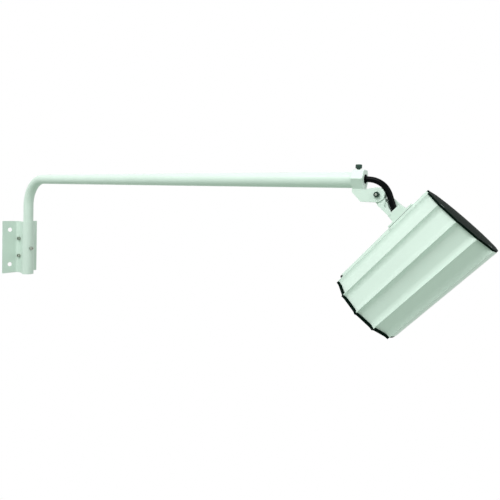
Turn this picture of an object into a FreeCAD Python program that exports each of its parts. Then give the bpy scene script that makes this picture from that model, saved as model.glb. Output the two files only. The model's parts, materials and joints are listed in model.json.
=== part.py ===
import FreeCAD, Part
import math
import os
import types

import Sketcher

# Arm spotlight: a wall clamp, a bent arm tube, a hexagonal end collar and a fluted lamp head.
# Millimetres. The origin is on the wall, half way up the clamp: +X away from the wall, +Z up.

sizes = {
    # Wall clamp, one rolled sheet round the upright of the arm
    "clampHeight": 150.0,
    "sheetGauge": 2.0,
    "wingSpan": 97.0,
    "wingBend": 6.5,
    "webHalf": 7.3,
    "flareAngle": 18.0,
    "kinkBend": 6.0,
    "barrelPlay": 0.1,
    "wallHole": 12.0,
    "wallHoleAcross": 57.0,
    "wallHoleUp": 100.0,
    "pinchReach": 14.3,
    "pinchSpacing": 50.0,
    # Arm tube
    "standoff": 46.0,
    "armHeight": 197.0,
    "armReach": 966.0,
    "tubeOuter": 25.0,
    "tubeWall": 1.5,
    "bendRadius": 75.0,
    # Inlet in the foot of the upright
    "grommetLip": 3.0,
    "footBore": 13.0,
    "inletLength": 32.0,
    "inletPlay": 0.3,
    "pinHole": 3.2,
    "pinCircle": 9.0,
    "pinDepth": 12.0,
    # Hexagonal collar with its two ears
    "collarLength": 18.5,
    "collarAcross": 28.6,
    "collarChamfer": 30.0,
    "collarChamferStart": 14.1,
    "collarRise": 1.0,
    "collarOverlap": 13.2,
    "collarPlay": 0.1,
    "collarScrewInset": 7.2,
    "collarScrewStand": 2.5,
    "earWidth": 16.0,
    "earRound": 11.1,
    "earInset": 1.3,
    "earDrop": 19.1,
    "earChamfer": 14.1,
    "earTopAngle": 10.0,
    "slotWidth": 8.8,
    "slotDepth": 13.5,
    "pivotAhead": 26.8,
    "pivotDrop": 22.2,
    # Fasteners
    "boltSize": 6.0,
    "boltHead": 10.0,
    "boltHeadHeight": 6.0,
    "boltKey": 5.0,
    "boltPlay": 0.1,
    "keyDepth": 3.0,
    "nutAcross": 10.0,
    "nutHeight": 5.0,
    "washerSize": 11.5,
    "washerGauge": 1.2,
    "boltTail": 1.8,
    "overrun": 1.0,
    "smallBolt": 4.0,
    "smallHead": 6.6,
    "smallHeadHeight": 1.6,
    "smallKey": 2.5,
    "neckBolt": 5.0,
    "neckHead": 8.0,
    "neckHeadHeight": 3.0,
    "pivotBolt": 5.0,
    "pivotHead": 8.5,
    "pivotHeadHeight": 5.0,
    "pivotKey": 4.0,
    "pivotNutAcross": 8.0,
    "pivotNutHeight": 4.0,
    "pivotWasher": 10.0,
    "pivotWasherGauge": 1.0,
    "smallLength": 14.0,
    "trayBolt": 3.0,
    "trayHead": 5.5,
    "trayHeadHeight": 3.0,
    "trayKeyDepth": 1.0,
    # Cable
    "cableSize": 9.0,
    "cableRise": 1.5,
    "cablePlay": 0.1,
    "sleeveWall": 1.4,
    "sleeveLip": 1.0,
    # Lamp head, measured along its axis from the rear and up from its axis
    "headTilt": 49.0,
    "headLength": 178.2,
    "pivotAlong": 49.4,
    "pivotUp": 107.8,
    "ridgeCount": 12.0,
    "ridgeTip": 61.8,
    "ridgeLand": 0.8,
    "panelApothem": 54.2,
    "panelFlat": 16.0,
    "flankRadius": 8.4,
    "labelRadius": 58.0,
    "labelHalf": 24.0,
    "housingBore": 100.0,
    "portCircle": 53.4,
    # Neck
    "flangeUp": 60.8,
    "flangeGauge": 2.5,
    "flangeSkin": 0.8,
    "flangeStart": 26.4,
    "flangeEnd": 72.3,
    "flangeWidth": 16.0,
    "saddleUp": 60.4,
    "saddleWidth": 16.0,
    "saddleFoot": 18.0,
    "bossUp": 74.6,
    "bossFoot": 13.3,
    "bossTop": 11.5,
    "bossWidth": 15.0,
    "neckHalf": 11.0,
    "neckRound": 9.7,
    "neckWidth": 8.6,
    "webNear": 4.6,
    "webFar": 8.5,
    "shoulderGap": 1.5,
    "shoulderDepth": 3.2,
    "shoulderCut": 48.6,
    "shoulderLean": 4.0,
    "ribWidth": 5.0,
    "weldOverlap": 2.0,
    "neckScrewRear": 31.0,
    "neckScrewFront": 67.8,
    # Front bezel and rear cap
    "trimTip": 61.4,
    "trimApothem": 57.0,
    "trimFlat": 21.0,
    "trimLabel": 57.5,
    "trimGauge": 4.0,
    "aperture": 92.0,
    "capCrown": 7.1,
    "domeRadius": 421.0,
    "capSeat": 1.2,
    "capHollow": 2.0,
    "spigotLength": 7.0,
    "spigotWall": 3.8,
    "spigotPlay": 0.2,
    "sealSection": 2.3,
    "sealAlong": 3.0,
    "sealSideRoom": 0.2,
    "sealPlay": 0.05,
    # Optics and lamp gear
    "glassGauge": 4.0,
    "glassPlay": 0.3,
    "gasketGauge": 1.0,
    "reflectorRim": 2.0,
    "reflectorWall": 1.5,
    "reflectorThroat": 15.0,
    "reflectorCurve": 110.0,
    "boardRadius": 24.0,
    "boardGauge": 1.6,
    "emitterWidth": 20.0,
    "emitterBase": 1.0,
    "emitterLens": 8.0,
    "emitterDome": 1.2,
    "spreaderFace": 106.0,
    "spreaderPlate": 6.0,
    "spreaderLength": 32.0,
    "spreaderWall": 4.0,
    "spreaderPlay": 0.1,
    "wireHole": 10.0,
    "wireHoleOut": 30.0,
    "trayDrop": 16.0,
    "trayGauge": 2.0,
    "trayStart": 8.0,
    "trayWidth": 80.0,
    "tabWidth": 16.0,
    "tabClear": 1.4,
    "driverHeight": 28.0,
    "driverWidth": 66.0,
    "driverLength": 22.0,
    "driverFoot": 6.0,
    "footGauge": 3.0,
    "footWidth": 20.0,
    "blockHeight": 14.0,
    "blockWidth": 28.0,
    "blockLength": 16.0,
}

doc = FreeCAD.newDocument("ArmSpotlight")
sheet = doc.addObject("Spreadsheet::Sheet", "Sizes")
for row, (alias, number) in enumerate(sizes.items(), start=1):
    sheet.set(f"A{row}", alias)
    sheet.set(f"B{row}", str(number))
    sheet.setAlias(f"B{row}", alias)
doc.recompute()


class Formula:
    # A size worked out from the sheet: its expression and its value.
    def __init__(self, text, value):
        self.text = text
        self.value = value

    def __add__(self, other):
        other = formula(other)
        return Formula(f"({self.text} + {other.text})", self.value + other.value)

    def __radd__(self, other):
        return formula(other) + self

    def __sub__(self, other):
        other = formula(other)
        return Formula(f"({self.text} - {other.text})", self.value - other.value)

    def __rsub__(self, other):
        return formula(other) - self

    def __mul__(self, other):
        other = formula(other)
        return Formula(f"({self.text} * {other.text})", self.value * other.value)

    def __rmul__(self, other):
        return formula(other) * self

    def __truediv__(self, other):
        other = formula(other)
        return Formula(f"({self.text} / {other.text})", self.value / other.value)

    def __rtruediv__(self, other):
        return formula(other) / self

    def __neg__(self):
        return Formula(f"(-1 * {self.text})", -self.value)


def formula(number):
    if isinstance(number, Formula):
        return number
    return Formula(f"({number})", float(number))


def sine(angle):
    angle = formula(angle)
    return Formula(f"sin({angle.text} * 1 deg)", math.sin(math.radians(angle.value)))


def cosine(angle):
    angle = formula(angle)
    return Formula(f"cos({angle.text} * 1 deg)", math.cos(math.radians(angle.value)))


radian = 180 / math.pi


def root(number):
    return Formula(f"sqrt({number.text})", math.sqrt(number.value))


size = types.SimpleNamespace(**{alias: Formula(f"Sizes.{alias}", sizes[alias]) for alias in sizes})


def bind(thing, name, number):
    thing.setExpression(name, formula(number).text)


def flatVector(x, y):
    return FreeCAD.Vector(formula(x).value, formula(y).value, 0)


# Places that several sub-parts share

tubeRadius = size.tubeOuter / 2
tubeInside = tubeRadius - size.tubeWall
clampFoot = -size.clampHeight / 2
barrelInner = tubeRadius + size.barrelPlay
barrelOuter = barrelInner + size.sheetGauge
tubeEnd = size.standoff + size.armReach
collarStart = tubeEnd - size.collarOverlap
collarEnd = collarStart + size.collarLength
collarMiddle = size.armHeight + size.collarRise
collarTop = collarMiddle + size.collarAcross / 2
pivotX = tubeEnd + size.pivotAhead
pivotZ = size.armHeight - size.pivotDrop
earHalf = size.earWidth / 2
boltHole = size.boltSize / 2 + size.boltPlay
pivotHole = size.pivotBolt / 2 + size.boltPlay
smallHole = size.smallBolt / 2 + size.boltPlay
smallHeadRoom = size.smallHead / 2 + size.boltPlay
neckHole = size.neckBolt / 2 + size.boltPlay
neckScrewBite = size.flangeGauge - size.flangeSkin
trayHole = size.trayBolt / 2 + size.boltPlay
cableRadius = size.cableSize / 2
sleeveInner = cableRadius + size.cablePlay
sleeveOuter = sleeveInner + size.sleeveWall
cableHeight = size.armHeight + size.cableRise
boreRadius = size.housingBore / 2
flangeTop = size.flangeUp + size.flangeGauge
headX = pivotX + size.pivotAlong * cosine(size.headTilt) + size.pivotUp * sine(size.headTilt)
headZ = pivotZ + size.pivotAlong * sine(size.headTilt) - size.pivotUp * cosine(size.headTilt)
pinchPlaces = [(size.pinchReach, size.pinchSpacing / 2), (size.pinchReach, -size.pinchSpacing / 2)]
portAngles = [30, 120, 210, 300]
portPlaces = [(size.portCircle * cosine(turn), size.portCircle * sine(turn)) for turn in portAngles]
neckScrewPlaces = [(0, size.neckScrewRear), (0, size.neckScrewFront)]

subParts = []


# Drawing and feature helpers

def newBody(label, onHead=False):
    body = doc.addObject("PartDesign::Body", label)
    body.Label = label
    body.AllowCompound = True
    if onHead:
        # The head's own frame: Z along its axis to the front, X up towards the neck.
        lean = 90 + size.headTilt
        turn = FreeCAD.Rotation(FreeCAD.Vector(0, -1, 0), lean.value)
        body.Placement = FreeCAD.Placement(FreeCAD.Vector(), turn)
        bind(body, "Placement.Base.x", headX)
        bind(body, "Placement.Base.z", headZ)
        bind(body, "Placement.Rotation.Angle", lean)
    subParts.append(body)
    return body


def originFeature(body, role):
    return next(feature for feature in body.Origin.OriginFeatures if feature.Role == role)


def sketchOn(body, plane, offset=0, turn=0):
    sketch = body.newObject("Sketcher::SketchObject", f"{body.Label}_sketch")
    sketch.AttachmentSupport = [(originFeature(body, f"{plane}_Plane"), "")]
    sketch.MapMode = "FlatFace"
    bind(sketch, "AttachmentOffset.Base.z", offset)
    bind(sketch, "AttachmentOffset.Rotation.Angle", turn)
    return sketch


def measure(sketch, kind, *ends, length):
    index = sketch.addConstraint(Sketcher.Constraint(kind, *ends, formula(length).value))
    bind(sketch, f"Constraints[{index}]", length)


def pin(sketch, edge, end, x, y):
    measure(sketch, "DistanceX", -1, 1, edge, end, length=x)
    measure(sketch, "DistanceY", -1, 1, edge, end, length=y)


def drawArc(sketch, start, finish, radius):
    # A positive radius turns anticlockwise from start to finish, a negative one clockwise.
    chord = finish - start
    reach = abs(radius.value)
    rise = math.sqrt(reach ** 2 - (chord.Length / 2) ** 2)
    side = FreeCAD.Vector(-chord.y, chord.x, 0).normalize() * math.copysign(rise, radius.value)
    centre = (start + finish) / 2 + side
    first, last = (start, finish) if radius.value > 0 else (finish, start)
    angles = [math.atan2(point.y - centre.y, point.x - centre.x) for point in (first, last)]
    circle = Part.Circle(centre, FreeCAD.Vector(0, 0, 1), reach)
    edge = sketch.addGeometry(Part.ArcOfCircle(circle, *angles))
    measure(sketch, "Radius", edge, length=radius if radius.value > 0 else -radius)
    return (edge, 1, 2) if radius.value > 0 else (edge, 2, 1)


def drawOutline(sketch, corners, closed=True):
    # A corner is x and y, with a radius as well where an arc leaves it.
    points = [flatVector(corner[0], corner[1]) for corner in corners]
    spans = len(corners) if closed else len(corners) - 1
    edges = []
    for index in range(spans):
        start = points[index]
        finish = points[(index + 1) % len(corners)]
        if len(corners[index]) == 3:
            edges.append(drawArc(sketch, start, finish, formula(corners[index][2])))
        else:
            edges.append((sketch.addGeometry(Part.LineSegment(start, finish)), 1, 2))
    for index in range(spans if closed else spans - 1):
        edge = edges[index]
        following = edges[(index + 1) % spans]
        sketch.addConstraint(Sketcher.Constraint("Coincident", edge[0], edge[2], following[0], following[1]))
    for index in range(spans):
        pin(sketch, edges[index][0], edges[index][1], corners[index][0], corners[index][1])
    if not closed:
        pin(sketch, edges[-1][0], edges[-1][2], corners[-1][0], corners[-1][1])


def drawRectangle(sketch, left, right, low, high):
    drawOutline(sketch, [(left, low), (right, low), (right, high), (left, high)])


def drawCircle(sketch, x, y, radius):
    edge = sketch.addGeometry(Part.Circle(flatVector(x, y), FreeCAD.Vector(0, 0, 1), formula(radius).value))
    pin(sketch, edge, 3, x, y)
    measure(sketch, "Radius", edge, length=radius)


def drawHexagon(sketch, x, y, across):
    corner = across / math.sqrt(3)
    turns = [60 * index for index in range(6)]
    drawOutline(sketch, [(x + corner * cosine(turn), y + corner * sine(turn)) for turn in turns])


def extrude(kind, body, sketch, length, back=False, both=False):
    feature = body.newObject(f"PartDesign::{kind}", f"{body.Label}_{kind.lower()}")
    feature.Profile = sketch
    bind(feature, "Length", length)
    feature.Reversed = back
    if both:
        feature.SideType = "Symmetric"
    body.Tip = feature
    return feature


def pad(body, sketch, length, back=False, both=False):
    return extrude("Pad", body, sketch, length, back, both)


def pocket(body, sketch, length, back=False, both=False):
    return extrude("Pocket", body, sketch, length, back, both)


def turned(kind, body, sketch, axis="V_Axis"):
    # Turned about an axis of its sketch, by default the body's Z axis.
    feature = body.newObject(f"PartDesign::{kind}", f"{body.Label}_{kind.lower()}")
    feature.Profile = sketch
    feature.ReferenceAxis = (sketch, [axis])
    feature.Angle = 360
    body.Tip = feature


def padCircles(body, plane, places, offset, radius, length, back=False):
    sketch = sketchOn(body, plane, offset)
    for x, y in places:
        drawCircle(sketch, x, y, radius)
    pad(body, sketch, length, back)


def padRings(body, plane, places, offset, inner, outer, length, back=False):
    sketch = sketchOn(body, plane, offset)
    for x, y in places:
        drawCircle(sketch, x, y, inner)
        drawCircle(sketch, x, y, outer)
    pad(body, sketch, length, back)


def pocketCircles(body, plane, places, offset, radius, length, back=False, both=False):
    sketch = sketchOn(body, plane, offset)
    for x, y in places:
        drawCircle(sketch, x, y, radius)
    pocket(body, sketch, length, back, both)


def padHexagons(body, plane, places, offset, across, length, hole, back=False):
    sketch = sketchOn(body, plane, offset)
    for x, y in places:
        drawHexagon(sketch, x, y, across)
        drawCircle(sketch, x, y, hole)
    pad(body, sketch, length, back)


def capScrews(label, plane, places, seat, length, shank, head, headHeight, key, depth,
              headBack=False, onHead=False):
    # Socket screws that share a plane: the head stands on the seat and the shank goes the other way.
    body = newBody(label, onHead)
    padCircles(body, plane, places, seat, shank / 2, length, back=not headBack)
    padCircles(body, plane, places, seat, head / 2, headHeight, back=headBack)
    face = seat - headHeight if headBack else seat + headHeight
    sketch = sketchOn(body, plane, face)
    for x, y in places:
        drawHexagon(sketch, x, y, key)
    pocket(body, sketch, depth, back=headBack)


def boltScrews(label, plane, places, seat, length):
    capScrews(label, plane, places, seat, length, size.boltSize, size.boltHead,
              size.boltHeadHeight, size.boltKey, size.keyDepth)


# Wall clamp: wings on the wall, two webs pinched together and a barrel round the upright

def clampSide(inset):
    # One face of half the sheet, from the wing's edge to the front of the barrel, set in from
    # the outer face by a share of the gauge.
    web = size.webHalf - inset
    barrel = barrelOuter - inset
    wingFace = size.sheetGauge - inset
    bend = size.wingBend + inset
    kink = size.kinkBend + inset
    kinkSpan = kink * sine(size.flareAngle / 2) / cosine(size.flareAngle / 2)
    slope = sine(size.flareAngle) / cosine(size.flareAngle)
    touchX = size.standoff - barrel * sine(size.flareAngle)
    touchY = barrel * cosine(size.flareAngle)
    kinkX = touchX - (touchY - web) / slope
    return [
        (wingFace, size.wingSpan / 2),
        (wingFace, web + bend, bend),
        (wingFace + bend, web),
        (kinkX - kinkSpan, web, kink),
        (kinkX + kinkSpan * cosine(size.flareAngle), web + kinkSpan * sine(size.flareAngle)),
        (touchX, touchY, -barrel),
        (size.standoff + barrel, 0),
    ]


def backAlong(side):
    # The same face the other way round, so that each arc leaves its other end.
    corners = []
    for index in range(len(side) - 1, -1, -1):
        radius = side[index - 1][2:] if index > 0 else ()
        corners.append(side[index][:2] + tuple(-value for value in radius))
    return corners


def makeClampBracket():
    body = newBody("clamp_bracket")
    sketch = sketchOn(body, "XY")
    drawOutline(sketch, clampSide(0) + backAlong(clampSide(size.sheetGauge)))
    half = pad(body, sketch, size.clampHeight, both=True)
    whole = body.newObject("PartDesign::Mirrored", "clamp_bracket_mirrored")
    whole.Originals = [half]
    whole.MirrorPlane = (originFeature(body, "XZ_Plane"), [""])
    body.Tip = whole
    across = size.wallHoleAcross / 2
    up = size.wallHoleUp / 2
    wallPlaces = [(across, up), (-across, up), (-across, -up), (across, -up)]
    pocketCircles(body, "YZ", wallPlaces, 0, size.wallHole / 2, 3 * size.sheetGauge, both=True)
    pocketCircles(body, "XZ", pinchPlaces, 0, boltHole, 3 * size.webHalf, both=True)
    pocketCircles(body, "YZ", [(0, 0)], size.standoff, boltHole, barrelOuter + size.overrun, back=True)


def makePinchFasteners():
    grip = 2 * size.webHalf + size.washerGauge + size.nutHeight
    boltScrews("pinch_screws", "XZ", pinchPlaces, size.webHalf, grip + size.boltTail)
    washers = newBody("pinch_washers")
    padRings(washers, "XZ", pinchPlaces, -size.webHalf, boltHole, size.washerSize / 2,
             size.washerGauge, back=True)
    nuts = newBody("pinch_nuts")
    padHexagons(nuts, "XZ", pinchPlaces, -size.webHalf - size.washerGauge, size.nutAcross,
                size.nutHeight, boltHole, back=True)


def makeBarrelSetScrew():
    reach = size.sheetGauge + size.barrelPlay / 2
    boltScrews("barrel_set_screw", "YZ", [(0, 0)], size.standoff + barrelOuter, reach)


# Arm: the bent tube and what is inside it

def bentPipe(body, foot, radii):
    # Up the standing leg, round the bend and out along the arm.
    spine = sketchOn(body, "XZ")
    drawOutline(spine, [
        (size.standoff, foot),
        (size.standoff, size.armHeight - size.bendRadius, -size.bendRadius),
        (size.standoff + size.bendRadius, size.armHeight),
        (tubeEnd, size.armHeight),
    ], closed=False)
    section = sketchOn(body, "XY", foot)
    for radius in radii:
        drawCircle(section, size.standoff, 0, radius)
    pipe = body.newObject("PartDesign::AdditivePipe", f"{body.Label}_pipe")
    pipe.Profile = section
    pipe.Spine = (spine, ["Edge1", "Edge2", "Edge3"])
    body.Tip = pipe


def makeArmTube():
    bentPipe(newBody("arm_tube"), clampFoot, [tubeRadius, tubeInside])


def makeEndGrommet():
    body = newBody("end_grommet")
    padRings(body, "XY", [(size.standoff, 0)], clampFoot, size.footBore / 2,
             tubeInside - size.cablePlay, size.grommetLip)


def makeInletConnector():
    body = newBody("inlet_connector")
    place = [(size.standoff, 0)]
    foot = clampFoot + size.grommetLip
    padCircles(body, "XY", place, foot, tubeInside - size.inletPlay, size.inletLength)
    out = size.pinCircle / 2
    pins = [(size.standoff + out * cosine(turn), out * sine(turn)) for turn in (90, 210, 330)]
    pocketCircles(body, "XY", pins, foot, size.pinHole / 2, size.pinDepth, back=True)


def makeArmCable():
    bentPipe(newBody("arm_cable"), clampFoot + size.grommetLip + size.inletLength, [cableRadius])


# Collar: a hexagonal block on the end of the tube, with two ears for the head

def makeHexCollar():
    body = newBody("hex_collar")
    block = sketchOn(body, "YZ", collarStart)
    drawHexagon(block, 0, collarMiddle, size.collarAcross)
    pad(body, block, size.collarLength)
    chamfer = sketchOn(body, "XZ")
    bind(chamfer, "AttachmentOffset.Base.y", collarMiddle)
    outside = size.collarAcross / math.sqrt(3) + size.overrun
    rise = outside - size.collarChamferStart
    slant = rise * sine(size.collarChamfer) / cosine(size.collarChamfer)
    drawOutline(chamfer, [
        (collarStart, size.collarChamferStart),
        (collarStart + slant, outside),
        (collarStart, outside),
    ])
    turned("Groove", body, chamfer, "H_Axis")
    ears = sketchOn(body, "XZ")
    earStart = collarStart + size.earInset
    earFoot = pivotZ - size.earRound
    touchX = pivotX - size.earRound * sine(size.earTopAngle)
    touchZ = pivotZ + size.earRound * cosine(size.earTopAngle)
    slope = sine(size.earTopAngle) / cosine(size.earTopAngle)
    drawOutline(ears, [
        (earStart, collarMiddle),
        (earStart, size.armHeight - size.earDrop),
        (earStart + size.earChamfer, earFoot),
        (pivotX, earFoot, size.earRound),
        (pivotX + size.earRound, pivotZ, size.earRound),
        (touchX, touchZ),
        (collarEnd, touchZ - (touchX - collarEnd) * slope),
        (collarEnd, collarMiddle),
    ])
    pad(body, ears, size.earWidth, both=True)
    slot = sketchOn(body, "XZ")
    beyond = size.earRound + size.overrun
    drawRectangle(slot, pivotX - size.slotDepth, pivotX + beyond, pivotZ - beyond, pivotZ + beyond)
    pocket(body, slot, size.slotWidth, both=True)
    pocketCircles(body, "YZ", [(0, size.armHeight)], collarStart, tubeRadius + size.collarPlay,
                  size.collarOverlap + size.collarPlay, back=True)
    pocketCircles(body, "YZ", [(0, cableHeight)], collarStart, sleeveOuter + size.cablePlay,
                  size.collarLength + size.overrun, back=True)
    pocketCircles(body, "XY", [(collarStart + size.collarScrewInset, 0)], size.armHeight, boltHole,
                  size.collarAcross, back=True)
    pocketCircles(body, "XZ", [(pivotX, pivotZ)], 0, pivotHole, size.earWidth, both=True)


def makeCollarScrew():
    seat = collarTop + size.collarScrewStand
    reach = seat - size.armHeight - tubeRadius - size.collarPlay
    boltScrews("collar_screw", "XY", [(collarStart + size.collarScrewInset, 0)], seat, reach)


def makeCollarGrommet():
    body = newBody("collar_grommet")
    inside = tubeEnd + size.collarPlay
    place = [(0, cableHeight)]
    padRings(body, "YZ", place, inside, sleeveInner, sleeveOuter, collarEnd - inside)
    padRings(body, "YZ", place, collarEnd, sleeveInner, sleeveOuter + size.sleeveLip, size.sleeveLip)


def makePivotFasteners():
    place = [(pivotX, pivotZ)]
    seat = earHalf + size.pivotWasherGauge
    length = seat + earHalf + size.pivotNutHeight + size.boltTail
    capScrews("pivot_bolt", "XZ", place, -seat, length, size.pivotBolt, size.pivotHead,
              size.pivotHeadHeight, size.pivotKey, size.keyDepth, headBack=True)
    washer = newBody("pivot_washer")
    padRings(washer, "XZ", place, -earHalf, pivotHole, size.pivotWasher / 2, size.pivotWasherGauge,
             back=True)
    nut = newBody("pivot_nut")
    padHexagons(nut, "XZ", place, earHalf, size.pivotNutAcross, size.pivotNutHeight, pivotHole)


# Loop of cable from the collar over the pivot to the neck, as places from the pivot in X and Z

loopRoute = [
    (-26.4, 23.7),
    (-12.8, 23.7),
    (-1.3, 20.2),
    (8.1, 14.1),
    (14.6, 5.3),
    (18.6, -5.0),
    (21.4, -13.7),
    (24.2, -19.7),
]
arcShare = 0.45


def roundedWire(points):
    # Straight runs joined by tangent arcs, each as large as its shorter run allows.
    edges = []
    start = points[0]
    for before, corner, after in zip(points, points[1:], points[2:]):
        arriving = (corner - before).normalize()
        leaving = (after - corner).normalize()
        turn = arriving.getAngle(leaving)
        inset = arcShare * min((corner - before).Length, (after - corner).Length)
        radius = inset / math.tan(turn / 2)
        arcStart = corner - arriving * inset
        arcEnd = corner + leaving * inset
        bisector = (leaving - arriving).normalize()
        middle = corner + bisector * radius * (1 / math.cos(turn / 2) - 1)
        edges.append(Part.LineSegment(start, arcStart).toShape())
        edges.append(Part.Arc(arcStart, middle, arcEnd).toShape())
        print("loop_cable radius", round(radius, 1))
        start = arcEnd
    edges.append(Part.LineSegment(start, points[-1]).toShape())
    return Part.Wire(edges)


def makeLoopCable():
    points = [FreeCAD.Vector(pivotX.value + x, 0, pivotZ.value + z) for x, z in loopRoute]
    path = roundedWire(points)
    radius = cableRadius.value
    ring = Part.makeCircle(radius, points[0], points[1] - points[0])
    solid = path.makePipeShell([Part.Wire(ring)], True, True)
    expected = math.pi * radius ** 2 * path.Length
    print("loop_cable length", round(path.Length, 1), "volume share", round(solid.Volume / expected, 4))
    cable = doc.addObject("Part::Feature", "loop_cable")
    cable.Label = "loop_cable"
    cable.Shape = solid
    cable.Placement = FreeCAD.Placement()
    subParts.append(cable)


# Fluted extrusion: flat panels between ridges with hollow flanks, and underneath, in place of the
# lowest ridge, a smooth pad for the rating label

def cutFlutes(body, start, length, apothem, flat, tip, labelRadius):
    pitch = 360 / size.ridgeCount
    landAngle = size.ridgeLand / (2 * tip) * radian
    cornerX = tip * cosine(pitch / 2 - landAngle)
    cornerY = tip * sine(pitch / 2 - landAngle)
    outside = tip + size.ridgeLand
    firstFlute = sketchOn(body, "XY", start, pitch * 1.5 - 180)
    drawOutline(firstFlute, [
        (apothem, -flat / 2),
        (apothem, flat / 2, -size.flankRadius),
        (cornerX, cornerY),
        (outside, cornerY),
        (outside, -cornerY),
        (cornerX, -cornerY, -size.flankRadius),
    ])
    flute = pocket(body, firstFlute, length, back=True)
    ring = body.newObject("PartDesign::PolarPattern", f"{body.Label}_flutes")
    ring.Originals = [flute]
    ring.Axis = (originFeature(body, "Z_Axis"), [""])
    bind(ring, "Angle", 360 - 3 * pitch)
    bind(ring, "Occurrences", size.ridgeCount - 2)
    body.Tip = ring
    edgeX = tip * cosine(pitch - landAngle)
    edgeY = tip * sine(pitch - landAngle)
    seatX = labelRadius * cosine(size.labelHalf)
    seatY = labelRadius * sine(size.labelHalf)
    label = sketchOn(body, "XY", start, 180)
    drawOutline(label, [
        (edgeX, -edgeY, -size.flankRadius),
        (seatX, -seatY, labelRadius),
        (seatX, seatY, -size.flankRadius),
        (edgeX, edgeY),
        (outside, edgeY),
        (outside, -edgeY),
    ])
    pocket(body, label, length, back=True)


def makeHousing():
    body = newBody("housing", onHead=True)
    centre = [(0, 0)]
    padCircles(body, "XY", centre, 0, size.ridgeTip, size.headLength)
    cutFlutes(body, 0, size.headLength, size.panelApothem, size.panelFlat, size.ridgeTip, size.labelRadius)
    flangeLength = size.flangeEnd - size.flangeStart
    saddle = sketchOn(body, "XY", size.flangeStart)
    foot = size.panelApothem - size.weldOverlap
    drawOutline(saddle, [
        (foot, -size.saddleFoot / 2),
        (size.saddleUp, -size.saddleWidth / 2),
        (size.saddleUp, size.saddleWidth / 2),
        (foot, size.saddleFoot / 2),
    ])
    pad(body, saddle, flangeLength)
    milled = sketchOn(body, "XY", size.flangeStart)
    half = size.flangeWidth / 2
    drawRectangle(milled, size.saddleUp, size.ridgeTip + size.overrun, -half, half)
    pocket(body, milled, flangeLength, back=True)
    pocketCircles(body, "XY", centre, 0, boreRadius, size.headLength, back=True)
    pocketCircles(body, "XY", portPlaces, 0, smallHole, size.headLength, back=True)
    insideWall = boreRadius / 2
    pocketCircles(body, "YZ", [(0, size.pivotAlong)], insideWall, sleeveOuter + size.cablePlay,
                  insideWall + size.ridgeTip, back=True)
    pocketCircles(body, "YZ", neckScrewPlaces, insideWall, neckHole, insideWall + size.ridgeTip,
                  back=True)


def makeRearCap():
    body = newBody("rear_cap", onHead=True)
    centre = [(0, 0)]
    padCircles(body, "XY", centre, -size.capCrown, size.trimTip, size.capCrown)
    cutFlutes(body, -size.capCrown, size.capCrown, size.trimApothem, size.trimFlat, size.trimTip,
              size.trimLabel)
    dome = sketchOn(body, "XZ")
    edge = size.trimTip + size.ridgeLand
    edgeDrop = size.domeRadius - root(size.domeRadius * size.domeRadius - edge * edge)
    below = -2 * size.capCrown
    drawOutline(dome, [
        (0, below),
        (edge, below),
        (edge, edgeDrop - size.capCrown, -size.domeRadius),
        (0, -size.capCrown),
    ])
    turned("Groove", body, dome)
    spigot = boreRadius - size.spigotPlay
    padRings(body, "XY", centre, 0, spigot - size.spigotWall, spigot, size.spigotLength)
    pocketCircles(body, "XY", centre, 0, spigot - size.spigotWall, size.capHollow)
    sealRoom = size.sealSection + size.sealSideRoom
    seal = sketchOn(body, "XZ")
    low = size.sealAlong - sealRoom / 2
    drawRectangle(seal, spigot - sealRoom, spigot + size.overrun, low, low + sealRoom)
    turned("Groove", body, seal)
    pocketCircles(body, "XY", portPlaces, 0, smallHole, size.capCrown)
    pocketCircles(body, "XY", portPlaces, -size.capSeat, smallHeadRoom, size.capCrown)


def makeRearGasket():
    body = newBody("rear_gasket", onHead=True)
    sketch = sketchOn(body, "XZ")
    middle = boreRadius - size.sealPlay - size.sealSection / 2
    drawCircle(sketch, middle, size.sealAlong, size.sealSection / 2)
    turned("Revolution", body, sketch)


def trimScrews(label, seat, headBack):
    capScrews(label, "XY", portPlaces, seat, size.smallLength, size.smallBolt, size.smallHead,
              size.smallHeadHeight, size.smallKey, size.trayKeyDepth, headBack, onHead=True)


def makeFrontBezel():
    body = newBody("front_bezel", onHead=True)
    centre = [(0, 0)]
    padCircles(body, "XY", centre, size.headLength, size.trimTip, size.trimGauge)
    cutFlutes(body, size.headLength, size.trimGauge, size.trimApothem, size.trimFlat, size.trimTip,
              size.trimLabel)
    face = size.headLength + size.trimGauge
    pocketCircles(body, "XY", centre, face, size.aperture / 2, size.trimGauge)
    pocketCircles(body, "XY", portPlaces, face, smallHole, size.trimGauge)
    pocketCircles(body, "XY", portPlaces, face, smallHeadRoom, size.trimGauge - size.capSeat)


# Neck: the flange on the saddle, the cable boss, the side web and the knuckle between the ears

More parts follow.
